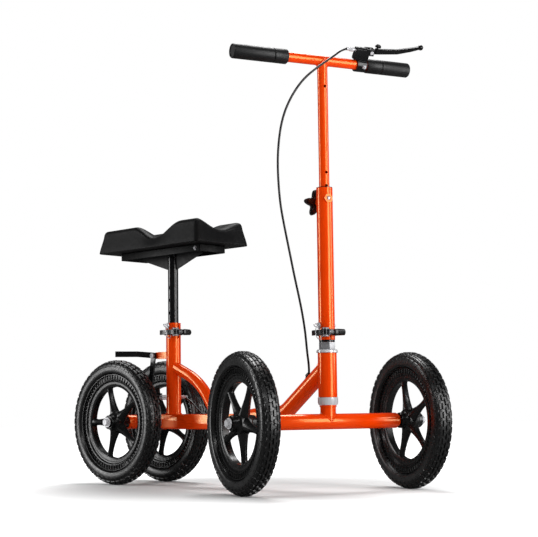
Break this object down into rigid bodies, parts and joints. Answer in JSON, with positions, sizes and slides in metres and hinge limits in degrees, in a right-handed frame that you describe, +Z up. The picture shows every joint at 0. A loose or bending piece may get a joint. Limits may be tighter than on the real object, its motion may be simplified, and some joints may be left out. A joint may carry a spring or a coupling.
{
  "type": "knee walker",
  "caption": "Orange tubular knee walker with air-tyre wheels, steered front axle, raised black knee pad, height-adjustable handlebar column and a hand brake working a bar over the rear tyres.",
  "frame": {"origin": "on the floor under the middle of the whole object's box, front axle steered 20 degrees to the rider's right as pictured", "axes": "+X forward along the frame, +Y to the rider's left, +Z up"},
  "size_m": [0.9958, 0.5216, 1.0078],
  "materials": {
    "orange_paint": "glossy orange paint",
    "black_paint": "glossy black paint",
    "tyre_rubber": "dull black tyre rubber with a knobbed tread",
    "grip_rubber": "soft matt black rubber",
    "cable_jacket": "satin black cable jacket",
    "black_plastic": "satin black moulded plastic",
    "black_vinyl": "fine-grained black vinyl",
    "zinc": "zinc-plated steel",
    "chrome": "bright chrome plate"
  },
  "bodies": {
    "frame": {"spine_tube": "orange_paint", "rear_axle_tube": "orange_paint", "seat_tube": "orange_paint", "seat_bushing": "black_plastic", "brace_tube": "orange_paint", "down_tube": "orange_paint", "head_tube": "orange_paint", "brake_bracket": "orange_paint", "lower_headset_cup": "chrome", "upper_headset_cup": "chrome", "seat_clamp_collar": "black_plastic", "seat_clamp_skewer": "chrome", "cable_stop": "zinc", "cable_clip": "black_plastic", "rear_axle_bolt_left": "zinc", "rear_axle_bolt_right": "zinc", "brake_pivot_bolt": "zinc", "brake_cable_rear": "cable_jacket", "yoke_spring": "zinc"},
    "seat": {"seat_post": "black_paint", "pad_tray": "black_paint", "knee_pad": "black_vinyl"},
    "steering": {"front_axle_tube": "orange_paint", "steerer_tube": "orange_paint", "headset_locknut": "chrome", "headset_spacer": "black_plastic", "front_axle_bolt_left": "zinc", "front_axle_bolt_right": "zinc", "outer_column": "orange_paint", "column_bushing": "black_plastic", "column_clamp_collar": "black_plastic", "column_clamp_skewer": "chrome"},
    "handlebar": {"inner_column": "orange_paint", "handlebar": "orange_paint", "grip_left": "grip_rubber", "grip_right": "grip_rubber", "lever_bracket": "black_plastic", "lever_pivot": "zinc", "brake_cable_front": "cable_jacket"},
    "brake_yoke": {"brake_yoke": "black_paint", "brake_wire": "zinc"},
    "brake_lever": {"brake_lever": "black_plastic"},
    "lock_button": {"lock_button": "black_plastic"},
    "barrel_adjuster": {"barrel_adjuster": "zinc"},
    "seat_clamp_lever": {"seat_clamp_lever": "black_plastic"},
    "seat_clamp_nut": {"seat_clamp_nut": "black_plastic"},
    "seat_pin": {"seat_pin": "chrome"},
    "column_clamp_lever": {"column_clamp_lever": "black_plastic"},
    "column_clamp_nut": {"column_clamp_nut": "black_plastic"},
    "column_pin": {"column_pin": "chrome"},
    "star_knob": {"star_knob": "black_plastic"},
    "snap_plunger": {"snap_plunger": "chrome"},
    "wheel_rear_right": {"tyre_rear_right": "tyre_rubber", "rim_rear_right": "black_plastic"},
    "wheel_rear_left": {"tyre_rear_left": "tyre_rubber", "rim_rear_left": "black_plastic"},
    "wheel_front_right": {"tyre_front_right": "tyre_rubber", "rim_front_right": "black_plastic"},
    "wheel_front_left": {"tyre_front_left": "tyre_rubber", "rim_front_left": "black_plastic"}
  },
  "joints": [
    {"name": "steering_turn", "type": "hinge", "parent": "frame", "child": "steering", "pos_m": [0.28056, 0, 0.25], "axis": [0, 0, 1], "range_deg": [-22, 62], "deforming": ["brake_cable_front"]},
    {"name": "handlebar_height", "type": "slide", "parent": "steering", "child": "handlebar", "axis": [0, 0, 1], "range_m": [-0.0592, 0.1184], "deforming": ["brake_cable_front"]},
    {"name": "seat_height", "type": "slide", "parent": "frame", "child": "seat", "axis": [0, 0, 1], "range_m": [-0.0942, 0.0942]},
    {"name": "seat_clamp_lever_swing", "type": "hinge", "parent": "frame", "child": "seat_clamp_lever", "pos_m": [-0.19514, -0.0192, 0.37], "axis": [0, 0, 1], "range_deg": [0, 150]},
    {"name": "seat_clamp_nut_turn", "type": "hinge", "parent": "frame", "child": "seat_clamp_nut", "pos_m": [-0.19514, 0.02, 0.37], "axis": [0, 1, 0], "continuous": true},
    {"name": "seat_pin_pull", "type": "slide", "parent": "frame", "child": "seat_pin", "axis": [0, -1, 0], "range_m": [0, 0.045]},
    {"name": "column_clamp_lever_swing", "type": "hinge", "parent": "steering", "child": "column_clamp_lever", "pos_m": [0.30096, -0.02786, 0.346], "axis": [0, 0, 1], "range_deg": [0, 150]},
    {"name": "column_clamp_nut_turn", "type": "hinge", "parent": "steering", "child": "column_clamp_nut", "pos_m": [0.31437, 0.00898, 0.346], "axis": [0.342, 0.9397, 0], "continuous": true},
    {"name": "column_pin_pull", "type": "slide", "parent": "steering", "child": "column_pin", "axis": [-0.342, -0.9397, 0], "range_m": [0, 0.045]},
    {"name": "star_knob_turn", "type": "hinge", "parent": "steering", "child": "star_knob", "pos_m": [0.25237, 0.01026, 0.638], "axis": [0.9397, -0.342, 0], "continuous": true},
    {"name": "snap_plunger_pull", "type": "slide", "parent": "steering", "child": "snap_plunger", "axis": [0.9397, -0.342, 0], "range_m": [0, 0.0045], "stiffness_N_per_m": 800},
    {"name": "brake_lever_pull", "type": "hinge", "parent": "handlebar", "child": "brake_lever", "pos_m": [0.34061, 0.09733, 0.98298], "axis": [-0.7198, 0.262, 0.6428], "range_deg": [0, 14], "stiffness_Nm_per_rad": 0.8},
    {"name": "lock_button_press", "type": "slide", "parent": "brake_lever", "child": "lock_button", "axis": [-0.604, 0.2198, -0.766], "range_m": [0, 0.004], "stiffness_N_per_m": 400},
    {"name": "barrel_adjuster_turn", "type": "hinge", "parent": "handlebar", "child": "barrel_adjuster", "pos_m": [0.32412, 0.05204, 0.98298], "axis": [0.342, 0.9397, 0], "continuous": true},
    {"name": "brake_yoke_swing", "type": "hinge", "parent": "frame", "child": "brake_yoke", "pos_m": [-0.28824, 0, 0.315], "axis": [0, -1, 0], "range_deg": [0, 6.8], "stiffness_Nm_per_rad": 6, "deforming": ["yoke_spring", "brake_wire"]},
    {"name": "wheel_rear_right_spin", "type": "hinge", "parent": "frame", "child": "wheel_rear_right", "pos_m": [-0.34484, -0.08, 0.1524], "axis": [0, 1, 0], "continuous": true},
    {"name": "wheel_rear_left_spin", "type": "hinge", "parent": "frame", "child": "wheel_rear_left", "pos_m": [-0.34484, 0.08, 0.1524], "axis": [0, 1, 0], "continuous": true},
    {"name": "wheel_front_right_spin", "type": "hinge", "parent": "steering", "child": "wheel_front_right", "pos_m": [0.2101, -0.19358, 0.1524], "axis": [0.342, 0.9397, 0], "continuous": true},
    {"name": "wheel_front_left_spin", "type": "hinge", "parent": "steering", "child": "wheel_front_left", "pos_m": [0.35102, 0.19358, 0.1524], "axis": [0.342, 0.9397, 0], "continuous": true}
  ],
  "couplings": [
    {"joint": "brake_lever_pull", "follows": "brake_yoke_swing", "ratio": 2.05}
  ]
}
